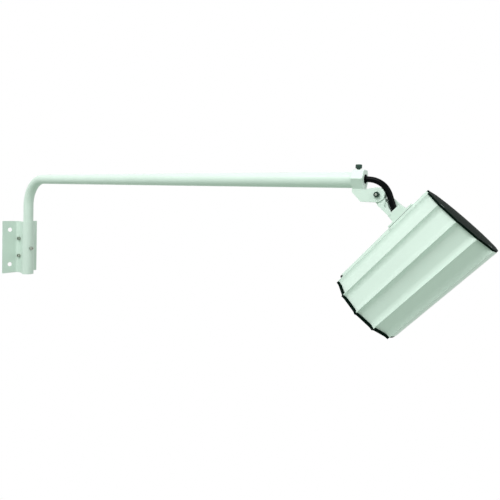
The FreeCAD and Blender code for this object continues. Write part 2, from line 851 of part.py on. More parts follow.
def makeNeckBracket():
    body = newBody("neck_bracket", onHead=True)
    along = size.pivotAlong
    flange = sketchOn(body, "XZ")
    drawRectangle(flange, size.flangeUp, flangeTop, size.flangeStart, size.flangeEnd)
    pad(body, flange, size.flangeWidth, both=True)
    boss = sketchOn(body, "XZ")
    drawOutline(boss, [
        (size.flangeUp, along - size.bossFoot),
        (size.bossUp, along - size.bossTop),
        (size.bossUp, along + size.bossTop),
        (size.flangeUp, along + size.bossFoot),
    ])
    pad(body, boss, size.bossWidth, both=True)
    clearRound = size.earRound + size.shoulderGap
    shoulderTop = size.pivotUp - clearRound + size.weldOverlap
    shoulderFoot = size.pivotUp - clearRound - size.shoulderDepth
    web = sketchOn(body, "XZ", -size.webFar)
    drawRectangle(web, size.bossUp - size.weldOverlap, shoulderTop, along - size.neckHalf,
                  along + size.neckHalf)
    pad(body, web, size.webFar - size.webNear)
    shoulder = sketchOn(body, "XZ")
    drawOutline(shoulder, [
        (size.bossUp - size.weldOverlap, along + size.neckHalf - size.ribWidth),
        (size.bossUp - size.weldOverlap, along + size.neckHalf),
        (shoulderTop, along + size.neckHalf),
        (shoulderTop, size.shoulderCut - size.shoulderLean),
        (shoulderFoot, size.shoulderCut),
        (shoulderFoot - size.shoulderLean, along + size.neckHalf - size.ribWidth),
    ])
    pad(body, shoulder, size.earWidth, both=True)
    pocketCircles(body, "XZ", [(size.pivotUp, along)], 0, clearRound, 3 * size.webFar, both=True)
    arm = sketchOn(body, "XZ")
    armFoot = size.pivotUp - clearRound - size.weldOverlap
    drawOutline(arm, [
        (size.pivotUp, along + size.neckRound),
        (size.pivotUp, along - size.neckRound / 2),
        (armFoot, size.shoulderCut),
        (armFoot, along + size.neckHalf),
    ])
    pad(body, arm, size.neckWidth, both=True)
    knuckle = sketchOn(body, "XZ")
    drawCircle(knuckle, size.pivotUp, along, size.neckRound)
    pad(body, knuckle, size.neckWidth, both=True)
    pocketCircles(body, "XZ", [(size.pivotUp, along)], 0, pivotHole, size.earWidth, both=True)
    pocketCircles(body, "YZ", [(0, along)], size.flangeUp, sleeveOuter + size.cablePlay,
                  size.bossUp - size.flangeUp, back=True)
    pocketCircles(body, "YZ", neckScrewPlaces, size.flangeUp, neckHole, neckScrewBite, back=True)


def makeNeckGasket():
    body = newBody("neck_gasket", onHead=True)
    gauge = size.flangeUp - size.saddleUp
    outline = sketchOn(body, "YZ", size.saddleUp)
    half = size.flangeWidth / 2
    drawRectangle(outline, -half, half, size.flangeStart, size.flangeEnd)
    pad(body, outline, gauge)
    pocketCircles(body, "YZ", [(0, size.pivotAlong)], size.saddleUp, sleeveOuter + size.cablePlay,
                  gauge, back=True)
    pocketCircles(body, "YZ", neckScrewPlaces, size.saddleUp, neckHole, gauge, back=True)


def makeBossGrommet():
    body = newBody("boss_grommet", onHead=True)
    padRings(body, "YZ", [(0, size.pivotAlong)], size.flangeUp, sleeveInner, sleeveOuter,
             size.bossUp - size.flangeUp)


def makeNeckScrews():
    seat = boreRadius - size.spigotPlay
    reach = size.flangeUp + neckScrewBite - size.boltPlay - seat
    capScrews("neck_screws", "YZ", neckScrewPlaces, seat, reach, size.neckBolt, size.neckHead,
              size.neckHeadHeight, size.smallKey, size.trayKeyDepth, headBack=True, onHead=True)


# Optics: glass, gasket and reflector behind the bezel, and the light source on its spreader

glassFront = size.headLength - size.gasketGauge
glassBack = glassFront - size.glassGauge
glassRadius = boreRadius - size.glassPlay


def makeGlassGasket():
    body = newBody("glass_gasket", onHead=True)
    padRings(body, "XY", [(0, 0)], glassFront, size.aperture / 2, glassRadius, size.gasketGauge)


def makeFrontGlass():
    body = newBody("front_glass", onHead=True)
    padCircles(body, "XY", [(0, 0)], glassBack, glassRadius, size.glassGauge)


def makeReflector():
    body = newBody("reflector", onHead=True)
    throat = size.reflectorThroat
    base = size.spreaderFace + size.boardGauge
    mouth = size.aperture / 2
    sketch = sketchOn(body, "XZ")
    drawOutline(sketch, [
        (throat, base),
        (throat + size.reflectorWall, base, size.reflectorCurve),
        (mouth + size.reflectorWall, glassBack - size.reflectorRim),
        (glassRadius, glassBack - size.reflectorRim),
        (glassRadius, glassBack),
        (mouth, glassBack, -size.reflectorCurve),
    ])
    turned("Revolution", body, sketch)


def makeLedBoard():
    body = newBody("led_board", onHead=True)
    padCircles(body, "XY", [(0, 0)], size.spreaderFace, size.boardRadius, size.boardGauge)


def makeLedEmitter():
    body = newBody("led_emitter", onHead=True)
    base = size.spreaderFace + size.boardGauge
    half = size.emitterWidth / 2
    sketch = sketchOn(body, "XY", base)
    drawRectangle(sketch, -half, half, -half, half)
    pad(body, sketch, size.emitterBase)
    padCircles(body, "XY", [(0, 0)], base + size.emitterBase, size.emitterLens, size.emitterDome)


def makeHeatSpreader():
    body = newBody("heat_spreader", onHead=True)
    rim = boreRadius - size.spreaderPlay
    plateBack = size.spreaderFace - size.spreaderPlate
    skirtEnd = size.spreaderFace - size.spreaderLength
    sketch = sketchOn(body, "XZ")
    drawOutline(sketch, [
        (0, plateBack),
        (rim - size.spreaderWall, plateBack),
        (rim - size.spreaderWall, skirtEnd),
        (rim, skirtEnd),
        (rim, size.spreaderFace),
        (0, size.spreaderFace),
    ])
    turned("Revolution", body, sketch)
    pocketCircles(body, "XY", [(-size.wireHoleOut, 0)], size.spreaderFace, size.wireHole / 2,
                  size.spreaderPlate)


# Lamp gear on its tray, hung from the end of the spreader's skirt

trayTop = -size.trayDrop
trayEnd = size.spreaderFace - size.spreaderLength
driverStart = size.trayStart + size.driverFoot
driverEnd = driverStart + size.driverLength
footEnd = driverEnd + size.driverFoot
trayScrewPlaces = [(0, size.trayStart + size.trayBolt), (0, footEnd - size.trayBolt)]
blockStart = footEnd + size.footGauge


def makeGearTray():
    body = newBody("gear_tray", onHead=True)
    plate = sketchOn(body, "XZ")
    drawRectangle(plate, trayTop - size.trayGauge, trayTop, size.trayStart, trayEnd)
    pad(body, plate, size.trayWidth, both=True)
    tab = sketchOn(body, "XZ")
    drawRectangle(tab, size.tabClear - boreRadius, trayTop, trayEnd - size.trayGauge, trayEnd)
    pad(body, tab, size.tabWidth, both=True)
    pocketCircles(body, "YZ", trayScrewPlaces, trayTop, trayHole, size.trayGauge)


def makeDriver():
    body = newBody("driver", onHead=True)
    case = sketchOn(body, "XZ")
    drawRectangle(case, trayTop, trayTop + size.driverHeight, driverStart, driverEnd)
    pad(body, case, size.driverWidth, both=True)
    feet = sketchOn(body, "XZ")
    drawRectangle(feet, trayTop, trayTop + size.footGauge, size.trayStart, footEnd)
    pad(body, feet, size.footWidth, both=True)
    pocketCircles(body, "YZ", trayScrewPlaces, trayTop + size.footGauge, trayHole, size.footGauge)


def makeDriverScrews():
    capScrews("driver_screws", "YZ", trayScrewPlaces, trayTop + size.footGauge,
              size.footGauge + size.trayGauge, size.trayBolt, size.trayHead, size.trayHeadHeight,
              size.smallKey, size.trayKeyDepth, onHead=True)


def makeTerminalBlock():
    body = newBody("terminal_block", onHead=True)
    sketch = sketchOn(body, "XZ")
    drawRectangle(sketch, trayTop, trayTop + size.blockHeight, blockStart, blockStart + size.blockLength)
    pad(body, sketch, size.blockWidth, both=True)


def makeHeadCable():
    body = newBody("head_cable", onHead=True)
    foot = trayTop + size.blockHeight
    padCircles(body, "YZ", [(0, size.pivotAlong)], foot, cableRadius, size.bossUp - foot)


makeClampBracket()
makePinchFasteners()
makeBarrelSetScrew()
makeArmTube()
makeEndGrommet()
makeInletConnector()
makeArmCable()
makeHexCollar()
makeCollarScrew()
makeCollarGrommet()
makePivotFasteners()
makeLoopCable()
makeHousing()
makeRearCap()
makeRearGasket()
trimScrews("rear_cap_screws", -size.capSeat, headBack=True)
makeFrontBezel()
trimScrews("bezel_screws", size.headLength + size.capSeat, headBack=False)
makeNeckBracket()
makeNeckGasket()
makeBossGrommet()
makeNeckScrews()
makeGlassGasket()
makeFrontGlass()
makeReflector()
makeLedBoard()
makeLedEmitter()
makeHeatSpreader()
makeGearTray()
makeDriver()
makeDriverScrews()
makeTerminalBlock()
makeHeadCable()
doc.recompute()

# Every object is sound before any file is written

for thing in doc.Objects:
    if "Invalid" in thing.State or "Error" in thing.State:
        raise RuntimeError(f"{thing.Label} did not build: {thing.State}")
    if thing.TypeId in ("PartDesign::Pocket", "PartDesign::Groove"):
        if thing.BaseFeature.Shape.Volume - thing.Shape.Volume < 0.01:
            raise RuntimeError(f"{thing.Name} cuts nothing")
for part in subParts:
    if part.Shape.isNull() or not part.Shape.isValid():
        raise RuntimeError(f"{part.Label} has no valid shape")

os.makedirs("parts", exist_ok=True)
for part in subParts:
    part.Shape.exportStep(f"parts/{part.Label}.step")
    print(part.Label, len(part.Shape.Solids), "solids", round(part.Shape.Volume, 2), "mm3")
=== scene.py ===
import json
import math

import bmesh
import bpy
from mathutils import Matrix, Vector


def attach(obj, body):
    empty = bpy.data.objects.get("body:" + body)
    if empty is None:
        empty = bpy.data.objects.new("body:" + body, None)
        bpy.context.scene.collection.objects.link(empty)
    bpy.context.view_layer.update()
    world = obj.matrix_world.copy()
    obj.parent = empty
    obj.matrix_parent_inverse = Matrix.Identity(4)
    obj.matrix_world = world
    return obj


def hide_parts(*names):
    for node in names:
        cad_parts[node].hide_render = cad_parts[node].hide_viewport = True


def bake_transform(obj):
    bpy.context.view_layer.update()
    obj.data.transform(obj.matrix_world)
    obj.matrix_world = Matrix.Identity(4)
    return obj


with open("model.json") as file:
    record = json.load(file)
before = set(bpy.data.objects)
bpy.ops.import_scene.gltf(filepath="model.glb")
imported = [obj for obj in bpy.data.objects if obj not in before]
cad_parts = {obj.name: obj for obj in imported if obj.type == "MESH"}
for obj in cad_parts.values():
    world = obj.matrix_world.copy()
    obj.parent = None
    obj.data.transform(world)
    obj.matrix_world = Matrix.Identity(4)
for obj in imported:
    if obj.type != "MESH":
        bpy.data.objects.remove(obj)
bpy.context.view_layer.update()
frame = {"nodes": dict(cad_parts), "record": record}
nodes = frame["nodes"]
nodeSlots = {entry["node"]: entry["material_slot"] for entry in frame["record"]["subparts"]}
nodeBodies = {node: body for body, members in frame["record"]["behaviour"]["bodies"].items()
              for node in members}
print("frame loaded:", len(nodes), "nodes")


def millimetres(*values):
    return Vector([value / 1000 for value in values])


# Camera: stands beside the lamp head and looks back along the arm to the wall

camera = {
    "place": (1211.6, -607.9, 149.6),
    "yaw": 33.07,
    "pitch": -3.45,
    "roll": 2.60,
    "lens": 28.745,
    "shift": (-0.00517, -0.0398),
    "sensor": 36,
    "farthest": 50,
}


def setCamera(spec):
    yaw, pitch, roll = (math.radians(spec[key]) for key in ("yaw", "pitch", "roll"))
    level = Vector((math.cos(yaw), math.sin(yaw), 0))
    forward = Vector((-math.sin(yaw), math.cos(yaw), 0))
    ahead = forward * math.cos(pitch) + Vector((0, 0, math.sin(pitch)))
    above = level.cross(ahead)
    right = level * math.cos(roll) + above * math.sin(roll)
    up = above * math.cos(roll) - level * math.sin(roll)
    data = bpy.data.cameras.new("camera")
    data.lens = spec["lens"]
    data.sensor_width = spec["sensor"]
    data.shift_x, data.shift_y = spec["shift"]
    data.clip_end = spec["farthest"]
    eye = bpy.data.objects.new("camera", data)
    bpy.context.scene.collection.objects.link(eye)
    turn = Matrix((right, up, -ahead)).transposed().to_4x4()
    eye.matrix_world = Matrix.Translation(millimetres(*spec["place"])) @ turn
    bpy.context.scene.camera = eye


setCamera(camera)
print("camera set")


# Light and stage: a white room, dimmer and greener below, with a large soft lamp above the arm and
# a weak one beyond the lamp head

light = {
    "skyColour": (1.0, 1.0, 1.0),
    "skyStrength": 0.65,
    "groundColour": (0.76, 1.0, 0.82),
    "groundStrength": 0.46,
    "horizon": (-0.5, 0.5),
    "keyPlace": (0.52, -1.35, 1.75),
    "keyAim": (0.9, 0.0, 0.15),
    "keySize": 1.5,
    "keyPower": 32,
    "sidePlace": (2.3, -0.6, 0.9),
    "sideSize": 1.0,
    "sidePower": 5,
    "floorHeight": -1.6,
    "floorSize": 14,
    "floorColour": (0.50, 0.62, 0.52),
}


def addNode(tree, kind, **inputs):
    node = tree.nodes.new(kind)
    for name, value in inputs.items():
        node.inputs[name.replace("_", " ")].default_value = value
    return node


def seenDirectly(tree):
    # One where the camera, gloss or clear glass looks at the stage, nought for light that falls on things.
    path = tree.nodes.new("ShaderNodeLightPath")
    seen = path.outputs["Is Camera Ray"]
    for ray in ("Is Glossy Ray", "Is Transmission Ray"):
        either = tree.nodes.new("ShaderNodeMath")
        either.operation = "MAXIMUM"
        tree.links.new(seen, either.inputs[0])
        tree.links.new(path.outputs[ray], either.inputs[1])
        seen = either.outputs[0]
    return seen


def scaled(colour, strength):
    return tuple(part * strength for part in colour) + (1,)


def makeWorld(spec):
    world = bpy.data.worlds.new("studio")
    bpy.context.scene.world = world
    world.use_nodes = True
    tree = world.node_tree
    tree.nodes.clear()
    direction = tree.nodes.new("ShaderNodeTexCoord").outputs["Generated"]
    split = tree.nodes.new("ShaderNodeSeparateXYZ")
    tree.links.new(direction, split.inputs[0])
    rise = addNode(tree, "ShaderNodeMapRange", From_Min=spec["horizon"][0], From_Max=spec["horizon"][1])
    tree.links.new(split.outputs["Z"], rise.inputs["Value"])
    blend = tree.nodes.new("ShaderNodeMix")
    blend.data_type = "RGBA"
    blend.inputs["A"].default_value = scaled(spec["groundColour"], spec["groundStrength"])
    blend.inputs["B"].default_value = scaled(spec["skyColour"], spec["skyStrength"])
    tree.links.new(rise.outputs["Result"], blend.inputs["Factor"])
    soft = tree.nodes.new("ShaderNodeBackground")
    tree.links.new(blend.outputs["Result"], soft.inputs["Color"])
    white = addNode(tree, "ShaderNodeBackground", Color=(1, 1, 1, 1), Strength=1.0)
    mix = tree.nodes.new("ShaderNodeMixShader")
    out = tree.nodes.new("ShaderNodeOutputWorld")
    tree.links.new(seenDirectly(tree), mix.inputs[0])
    tree.links.new(soft.outputs[0], mix.inputs[1])
    tree.links.new(white.outputs[0], mix.inputs[2])
    tree.links.new(mix.outputs[0], out.inputs["Surface"])


def makeFloor(spec):
    half = spec["floorSize"] / 2
    corners = [(-half, -half, 0), (half, -half, 0), (half, half, 0), (-half, half, 0)]
    mesh = bpy.data.meshes.new("floor")
    mesh.from_pydata(corners, [], [(0, 1, 2, 3)])
    floor = bpy.data.objects.new("floor", mesh)
    bpy.context.scene.collection.objects.link(floor)
    floor.location.z = spec["floorHeight"]
    material = bpy.data.materials.new("floorWhite")
    material.use_nodes = True
    tree = material.node_tree
    tree.nodes.clear()
    matt = addNode(tree, "ShaderNodeBsdfDiffuse", Color=scaled(spec["floorColour"], 1))
    white = addNode(tree, "ShaderNodeEmission", Color=(1, 1, 1, 1), Strength=1.0)
    mix = tree.nodes.new("ShaderNodeMixShader")
    out = tree.nodes.new("ShaderNodeOutputMaterial")
    tree.links.new(seenDirectly(tree), mix.inputs[0])
    tree.links.new(matt.outputs[0], mix.inputs[1])
    tree.links.new(white.outputs[0], mix.inputs[2])
    tree.links.new(mix.outputs[0], out.inputs["Surface"])
    mesh.materials.append(material)


def addLamp(name, place, aim, width, power):
    data = bpy.data.lights.new(name, "AREA")
    data.shape = "DISK"
    data.size = width
    data.energy = power
    lamp = bpy.data.objects.new(name, data)
    bpy.context.scene.collection.objects.link(lamp)
    lamp.location = place
    lamp.rotation_euler = (Vector(aim) - Vector(place)).to_track_quat("-Z", "Y").to_euler()


makeWorld(light)
makeFloor(light)
addLamp("keyLamp", light["keyPlace"], light["keyAim"], light["keySize"], light["keyPower"])
addLamp("sideLamp", light["sidePlace"], light["keyAim"], light["sideSize"], light["sidePower"])
bpy.context.scene.view_settings.view_transform = "Standard"
print("light and stage set")


# Finishes: colours, roughness, and the size and relief of their grain. Edges are in metres.

paint = {"colour": (0.67, 0.80, 0.72), "roughness": 0.42, "swing": 0.05, "grain": 900, "relief": 0.12,
         "cloud": 18, "cloudShare": 0.05, "edge": 0.0005}
extrusion = {"colour": (0.67, 0.80, 0.72), "roughness": 0.36, "swing": 0.06, "lines": 420,
             "stretch": 0.02, "relief": 0.1, "cloud": 22, "cloudShare": 0.04, "edge": 0.0004,
             "axisTurn": 49}
# Painted shade: this steel's dark, greenish colour stands for the shade that falls on the fasteners that
# take it, not for a dark finish.
steelDarkenedAsShade = {"colour": (0.040, 0.075, 0.058), "roughness": 0.34, "grain": 700, "metal": 0.9}
brightSteel = {"colour": (0.36, 0.39, 0.34), "roughness": 0.27, "grain": 700, "metal": 1.0}
blackCover = {"colour": (0.002, 0.008, 0.005), "roughness": 0.5, "grain": 1100, "metal": 0.0,
              "shine": 0.005}
blackRubber = {"colour": (0.002, 0.003, 0.003), "roughness": 0.7, "grain": 800, "metal": 0.0,
               "shine": 0.05, "relief": 0.25}
cableJacket = {"colour": (0.001, 0.002, 0.002), "roughness": 0.14, "grain": 1400, "metal": 0.0,
               "shine": 0.05, "relief": 0.05}
blackPlastic = {"colour": (0.013, 0.013, 0.013), "roughness": 0.5, "grain": 900, "metal": 0.0}
bareAluminium = {"colour": (0.78, 0.79, 0.80), "roughness": 0.32, "grain": 500, "metal": 1.0,
                 "cloudShare": 0.05}
boardWhite = {"colour": (0.82, 0.82, 0.80), "roughness": 0.5, "grain": 600, "metal": 0.0,
              "cloudShare": 0.04}
phosphor = {"colour": (0.86, 0.62, 0.12), "roughness": 0.35, "grain": 2500, "metal": 0.0,
            "cloudShare": 0.08}
zincSheet = {"colour": (0.62, 0.64, 0.65), "roughness": 0.34, "grain": 140, "metal": 1.0}
driverCase = {"colour": (0.80, 0.80, 0.78), "roughness": 0.48, "grain": 700, "metal": 0.0,
              "cloudShare": 0.04}
blockPlastic = {"colour": (0.66, 0.68, 0.64), "roughness": 0.45, "grain": 700, "metal": 0.0,
                "cloudShare": 0.04}
plainFinish = {"shine": 0.5, "cloudShare": 0.12, "relief": 0.15, "swing": 0.07, "edge": 0.0003,
               "cloudSize": 12}
glass = {"colour": (0.93, 0.96, 0.94), "bending": 1.5, "haze": 30, "hazeShare": 0.02,
         "roughness": (0.01, 0.04)}
hammered = {"colour": (0.90, 0.91, 0.91), "cells": 260, "cloud": 40, "cloudShare": 0.03, "grain": 300,
            "roughness": (0.12, 0.2), "relief": 0.5, "edge": 0.0003}


def newMaterial(name):
    material = bpy.data.materials.new(name)
    material.use_nodes = True
    tree = material.node_tree
    return material, tree, tree.nodes["Principled BSDF"]


def noiseOn(tree, vector, scale, detail=2.0):
    noise = addNode(tree, "ShaderNodeTexNoise", Scale=scale, Detail=detail)
    tree.links.new(vector, noise.inputs["Vector"])
    return noise.outputs["Fac"]


def spread(tree, value, low, high):
    # Noise keeps mostly to 0.3 to 0.7, which is stretched over the whole range.
    ramp = addNode(tree, "ShaderNodeMapRange", From_Min=0.3, From_Max=0.7, To_Min=low, To_Max=high)
    tree.links.new(value, ramp.inputs["Value"])
    return ramp.outputs["Result"]


def around(tree, value, spec):
    # Roughness that swings a little about its own value.
    return spread(tree, value, spec["roughness"] - spec["swing"], spec["roughness"] + spec["swing"])


def shadesOf(tree, value, colour, share):
    mix = tree.nodes.new("ShaderNodeMix")
    mix.data_type = "RGBA"
    mix.inputs["A"].default_value = tuple(part * (1 - share) for part in colour) + (1,)
    mix.inputs["B"].default_value = tuple(min(1, part * (1 + share)) for part in colour) + (1,)
    tree.links.new(value, mix.inputs["Factor"])
    return mix.outputs["Result"]


def softEdges(tree, shader, height, strength, radius):
    # Fine relief over edges that catch the light as if slightly rounded.
    bevel = addNode(tree, "ShaderNodeBevel", Radius=radius)
    bevel.samples = 6  # enough for edges under a millimetre
    bump = addNode(tree, "ShaderNodeBump", Strength=strength, Distance=0.001)
    tree.links.new(height, bump.inputs["Height"])
    tree.links.new(bevel.outputs["Normal"], bump.inputs["Normal"])
    tree.links.new(bump.outputs["Normal"], shader.inputs["Normal"])


def powderPaint(name, spec):
    material, tree, shader = newMaterial(name)
    place = tree.nodes.new("ShaderNodeTexCoord").outputs["Object"]
    cloud = noiseOn(tree, place, spec["cloud"], 3.0)
    grain = noiseOn(tree, place, spec["grain"])
    tree.links.new(shadesOf(tree, cloud, spec["colour"], spec["cloudShare"]), shader.inputs["Base Color"])
    tree.links.new(around(tree, grain, spec), shader.inputs["Roughness"])
    softEdges(tree, shader, grain, spec["relief"], spec["edge"])
    return material


def extrudedPaint(name, spec):
    # Faint die lines run along the lamp head under its paint.
    material, tree, shader = newMaterial(name)
    place = tree.nodes.new("ShaderNodeTexCoord").outputs["Object"]
    along = addNode(tree, "ShaderNodeMapping", Rotation=(0, math.radians(90 + spec["axisTurn"]), 0))
    tree.links.new(place, along.inputs["Vector"])
    stretch = addNode(tree, "ShaderNodeMapping", Scale=(1, 1, spec["stretch"]))
    tree.links.new(along.outputs["Vector"], stretch.inputs["Vector"])
    lines = noiseOn(tree, stretch.outputs["Vector"], spec["lines"])
    cloud = noiseOn(tree, place, spec["cloud"], 3.0)
    tree.links.new(shadesOf(tree, cloud, spec["colour"], spec["cloudShare"]), shader.inputs["Base Color"])
    tree.links.new(around(tree, lines, spec), shader.inputs["Roughness"])
    softEdges(tree, shader, lines, spec["relief"], spec["edge"])
    return material


def grainedFinish(name, own):
    material, tree, shader = newMaterial(name)
    spec = plainFinish | own
    shader.inputs["Metallic"].default_value = spec["metal"]
    shader.inputs["Specular IOR Level"].default_value = spec["shine"]
    place = tree.nodes.new("ShaderNodeTexCoord").outputs["Object"]
    grain = noiseOn(tree, place, spec["grain"], 3.0)
    cloud = noiseOn(tree, place, spec["grain"] / spec["cloudSize"], 3.0)
    tree.links.new(shadesOf(tree, cloud, spec["colour"], spec["cloudShare"]), shader.inputs["Base Color"])
    tree.links.new(around(tree, grain, spec), shader.inputs["Roughness"])
    softEdges(tree, shader, grain, spec["relief"], spec["edge"])
    return material


def clearGlass(name, spec):
    material, tree, shader = newMaterial(name)
    shader.inputs["Transmission Weight"].default_value = 1.0
    shader.inputs["IOR"].default_value = spec["bending"]
    place = tree.nodes.new("ShaderNodeTexCoord").outputs["Object"]
    haze = noiseOn(tree, place, spec["haze"], 3.0)
    tree.links.new(shadesOf(tree, haze, spec["colour"], spec["hazeShare"]), shader.inputs["Base Color"])
    tree.links.new(spread(tree, haze, *spec["roughness"]), shader.inputs["Roughness"])
    return material


def hammeredReflector(name, spec):
    # Small dimples all over bright metal.
    material, tree, shader = newMaterial(name)
    shader.inputs["Metallic"].default_value = 1.0
    place = tree.nodes.new("ShaderNodeTexCoord").outputs["Object"]
    cells = addNode(tree, "ShaderNodeTexVoronoi", Scale=spec["cells"])
    tree.links.new(place, cells.inputs["Vector"])
    cloud = noiseOn(tree, place, spec["cloud"])
    grain = noiseOn(tree, place, spec["grain"])
    tree.links.new(shadesOf(tree, cloud, spec["colour"], spec["cloudShare"]), shader.inputs["Base Color"])
    tree.links.new(spread(tree, grain, *spec["roughness"]), shader.inputs["Roughness"])
    softEdges(tree, shader, cells.outputs["Distance"], spec["relief"], spec["edge"])
    return material


finishes = {
    "pale_paint": powderPaint("palePaint", paint),
    "pale_alloy": powderPaint("paleAlloy", paint),
    "dark_steel": grainedFinish("steelDarkenedAsShade", steelDarkenedAsShade),
    "bright_steel": grainedFinish("brightSteel", brightSteel),
    "black_plastic": grainedFinish("blackPlastic", blackPlastic),
    "black_cover": grainedFinish("blackCover", blackCover),
    "black_rubber": grainedFinish("blackRubber", blackRubber),
    "cable_jacket": grainedFinish("cableJacket", cableJacket),
    "clear_glass": clearGlass("clearGlass", glass),
    "bright_reflector": hammeredReflector("hammeredReflector", hammered),
    "bare_aluminium": grainedFinish("bareAluminium", bareAluminium),
    "board_white": grainedFinish("boardWhite", boardWhite),
    "phosphor": grainedFinish("phosphor", phosphor),
    "zinc_sheet": grainedFinish("zincSheet", zincSheet),
    "driver_case": grainedFinish("driverCase", driverCase),
    "block_plastic": grainedFinish("blockPlastic", blockPlastic),
}
housingPaint = extrudedPaint("housingPaint", extrusion)


def dressNodes():
    # Each node takes the finish of its own slot in the record, and the housing its lined paint.
    for name, node in nodes.items():
        finish = housingPaint if name == "housing" else finishes[nodeSlots[name]]
        for index in range(len(node.material_slots)):
            node.material_slots[index].material = finish


dressNodes()
print("finishes on the nodes:", len(finishes) + 1)


# Lamp head's own directions: up towards the hinge, across, and along to the front

head = {"tilt": 49.0, "hinge": (1038.8, 0.0, 174.8), "hingeAlong": 49.4, "hingeUp": 107.8}
headLean = math.radians(head["tilt"])
headFront = Vector((-math.cos(headLean), 0, -math.sin(headLean)))
headUp = Vector((-math.sin(headLean), 0, math.cos(headLean)))
headRear = Vector(head["hinge"]) - headUp * head["hingeUp"] - headFront * head["hingeAlong"]


def headPoint(up, across, along):
    return (headRear + headUp * up + Vector((0, across, 0)) + headFront * along) / 1000


# Loop of cable over the hinge: route points in millimetres from the hinge, in X and Z

loopCable = {
    "hinge": head["hinge"],
    "route": [(-26.4, 23.7), (-12.8, 23.7), (-1.3, 20.2), (8.1, 14.1), (14.6, 5.3),
              (18.6, -5.0), (21.4, -13.7), (25.1, -21.4)],
    "diameter": 9.0,
    "sides": 40,
    "crease": 60,
    "bendStart": (1024.0, 0.0, 198.0),
    "bendEnd": (1063.0, 0.0, 154.5),
}


def sampleRoute(points, name):
    # Points along the smooth NURBS line of a route.
    curve = bpy.data.curves.new(name, "CURVE")
    curve.dimensions = "3D"
    curve.resolution_u = 24  # steps from one route point to the next
    spline = curve.splines.new("NURBS")
    spline.points.add(len(points) - 1)
    for point, place in zip(spline.points, points):
        point.co = (*place, 1)
    spline.order_u = 3
    spline.use_endpoint_u = True
    line = bpy.data.objects.new(name, curve)
    bpy.context.scene.collection.objects.link(line)
    bpy.context.view_layer.update()
    mesh = bpy.data.meshes.new_from_object(line)
    sampled = [vertex.co.copy() for vertex in mesh.vertices]
    bpy.data.objects.remove(line)
    return sampled


def tubeAlong(path, radius, sides):
    # Round tube whose rings keep one side as near to Y as the path allows.
    vertices = []
    faces = []
    last = len(path) - 1
    for index, place in enumerate(path):
        ahead = (path[min(index + 1, last)] - path[max(index - 1, 0)]).normalized()
        above = ahead.cross(Vector((0, 1, 0))).normalized()
        side = above.cross(ahead)
        for step in range(sides):
            angle = 2 * math.pi * step / sides
            vertices.append(place + (side * math.cos(angle) + above * math.sin(angle)) * radius)
    for index in range(last):
        for step in range(sides):
            following = (step + 1) % sides
            faces.append((index * sides + step, index * sides + following,
                          (index + 1) * sides + following, (index + 1) * sides + step))
    faces.append(tuple(reversed(range(sides))))
    faces.append(tuple(range(last * sides, (last + 1) * sides)))
    return vertices, faces


def newPiece(name, vertices, faces, slotName):
    mesh = bpy.data.meshes.new(name)
    mesh.from_pydata(vertices, [], faces)
    mesh.update()
    mesh.materials.append(finishes[slotName])
    piece = bpy.data.objects.new(name, mesh)
    bpy.context.scene.collection.objects.link(piece)
    return piece


def smoothPiece(piece, angle):
    mesh = piece.data
    mesh.shade_smooth()
    mesh.set_sharp_from_angle(angle=math.radians(angle))


# Fasteners: turned from rings round each solid of a node, so that places come from the frame

socketScrews = [
    {"node": "pinch_screws", "axis": (0, -1, 0), "shank": 6.0, "head": 10.0, "headHeight": 6.0,
     "key": 5.0, "keyDepth": 3.0, "pitch": 1.0, "thread": 12.0, "knurls": 36},
    {"node": "barrel_set_screw", "axis": (1, 0, 0), "shank": 6.0, "head": 10.0, "headHeight": 6.0,
     "key": 5.0, "keyDepth": 3.0, "pitch": 1.0, "thread": 2.0, "knurls": 36},
    {"node": "collar_screw", "axis": (0, 0, 1), "shank": 6.0, "head": 10.0, "headHeight": 6.0,
     "key": 5.0, "keyDepth": 3.0, "pitch": 1.0, "thread": 4.5, "knurls": 36},
    {"node": "pivot_bolt", "axis": (0, 1, 0), "shank": 5.0, "head": 8.5, "headHeight": 5.0,
     "key": 4.0, "keyDepth": 3.0, "pitch": 0.8, "thread": 8.0, "knurls": 32},
    {"node": "rear_cap_screws", "axis": -headFront, "shank": 4.0, "head": 6.6, "headHeight": 1.6,
     "key": 2.5, "keyDepth": 1.0, "pitch": 0.7, "thread": 6.0, "knurls": 0},
    {"node": "bezel_screws", "axis": headFront, "shank": 4.0, "head": 6.6, "headHeight": 1.6,
     "key": 2.5, "keyDepth": 1.0, "pitch": 0.7, "thread": 6.0, "knurls": 0},
    {"node": "neck_screws", "axis": -headUp, "shank": 5.0, "head": 8.0, "headHeight": 3.0,
     "key": 2.5, "keyDepth": 1.0, "pitch": 0.8, "thread": 5.0, "knurls": 0},
    {"node": "driver_screws", "axis": headUp, "shank": 3.0, "head": 5.5, "headHeight": 3.0,
     "key": 2.5, "keyDepth": 1.0, "pitch": 0.5, "thread": 2.0, "knurls": 0},
]
nuts = [
    {"node": "pinch_nuts", "axis": (0, 1, 0), "across": 10.0, "hole": 6.2},
    {"node": "pivot_nut", "axis": (0, -1, 0), "across": 8.0, "hole": 5.2},
]
washers = [
    {"node": "pinch_washers", "axis": (0, 1, 0), "outer": 11.5, "hole": 6.2},
    {"node": "pivot_washer", "axis": (0, 1, 0), "outer": 10.0, "hole": 5.2},
]
turning = {"headSides": 144, "knurlDepth": 0.28, "chamfer": 0.45, "headCrease": 28,
           "threadSides": 36, "ringsPerTurn": 8, "threadStart": 0.11, "threadShare": 0.55,
           "nutSides": 48, "nutRim": 0.94, "nutCrease": 25,
           "washerSides": 64, "washerChamfer": 0.15, "washerCrease": 30}


def weldedMesh(name):
    # A node's mesh with the corners of its faces joined.
    welded = bmesh.new()
    welded.from_mesh(nodes[name].data)
    bmesh.ops.remove_doubles(welded, verts=welded.verts, dist=1e-6)
    welded.verts.index_update()
    return welded


